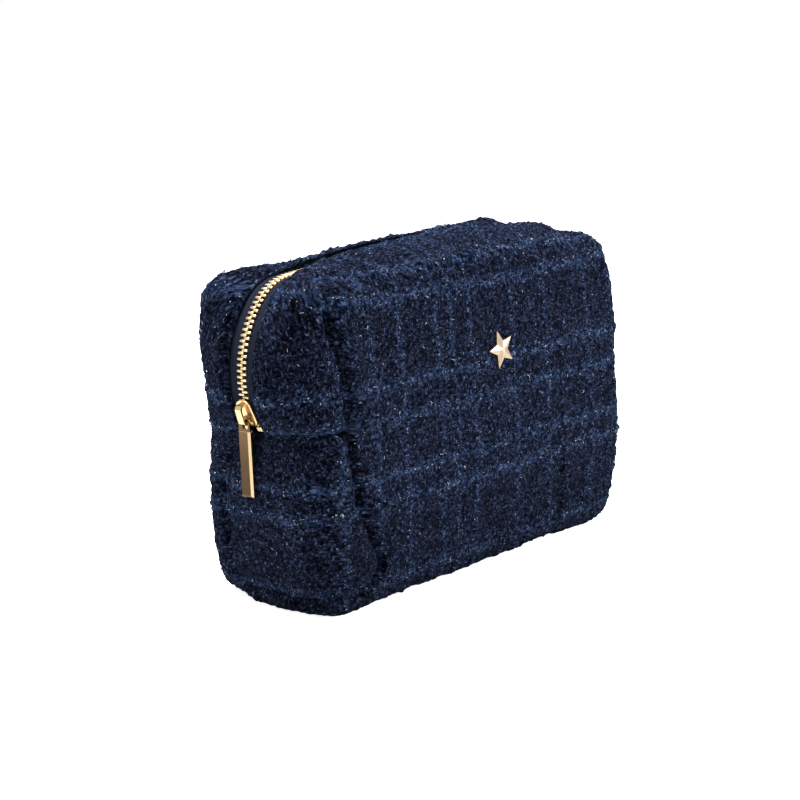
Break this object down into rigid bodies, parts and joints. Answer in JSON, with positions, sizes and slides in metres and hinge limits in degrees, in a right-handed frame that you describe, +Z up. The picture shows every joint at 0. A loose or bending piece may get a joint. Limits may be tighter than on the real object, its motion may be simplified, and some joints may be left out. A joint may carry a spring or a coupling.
{
  "type": "zippered pouch",
  "caption": "Boxy stuffed tweed pouch with a metal zip over the top and down both ends, a bar pull on the slider and a small star badge.",
  "frame": {"origin": "middle of the base, on the surface the pouch stands on", "axes": "+Z up, +X along the length from the closed slider's end to the far end, the front with the star faces -Y"},
  "size_m": [0.2364, 0.0871, 0.1515],
  "materials": {
    "tweed": "navy slub tweed with fine silver glints",
    "wadding": "soft white wadding",
    "lining": "plain woven lining",
    "zip_tape": "fine herringbone tape",
    "zip_metal": "bright pale gold teeth",
    "plated_metal": "polished pale gold plating",
    "badge_metal": "satin pale gold",
    "backing_steel": "plain steel washer"
  },
  "bodies": {
    "pouch": {"front_panel": "tweed", "back_panel": "tweed", "end_panel_left": "tweed", "end_panel_right": "tweed", "wadding_front": "wadding", "wadding_back": "wadding", "wadding_end_left": "wadding", "wadding_end_right": "wadding", "lining_front": "lining", "lining_back": "lining", "lining_end_left": "lining", "lining_end_right": "lining", "zip_tape_front": "zip_tape", "zip_tape_back": "zip_tape", "zip_teeth_front": "zip_metal", "zip_teeth_back": "zip_metal", "zip_top_stops": "zip_metal", "zip_bottom_stop": "zip_metal", "star_badge": "badge_metal", "star_backing": "backing_steel"},
    "slider": {"slider_body": "plated_metal", "slider_bridge": "plated_metal"},
    "pull": {"pull_tab": "plated_metal"}
  },
  "joints": [
    {"name": "slider_run", "type": "hinge", "parent": "pouch", "child": "slider", "pos_m": [-0.0679, 0, 0.1022], "axis": [0, 1, 0], "range_deg": [0, 50], "deforming": ["zip_teeth_front", "zip_teeth_back", "zip_tape_front", "zip_tape_back"]},
    {"name": "pull_swing", "type": "hinge", "parent": "slider", "child": "pull", "pos_m": [-0.11552, 0, 0.08489], "axis": [0, 1, 0], "range_deg": [0, 100]}
  ]
}
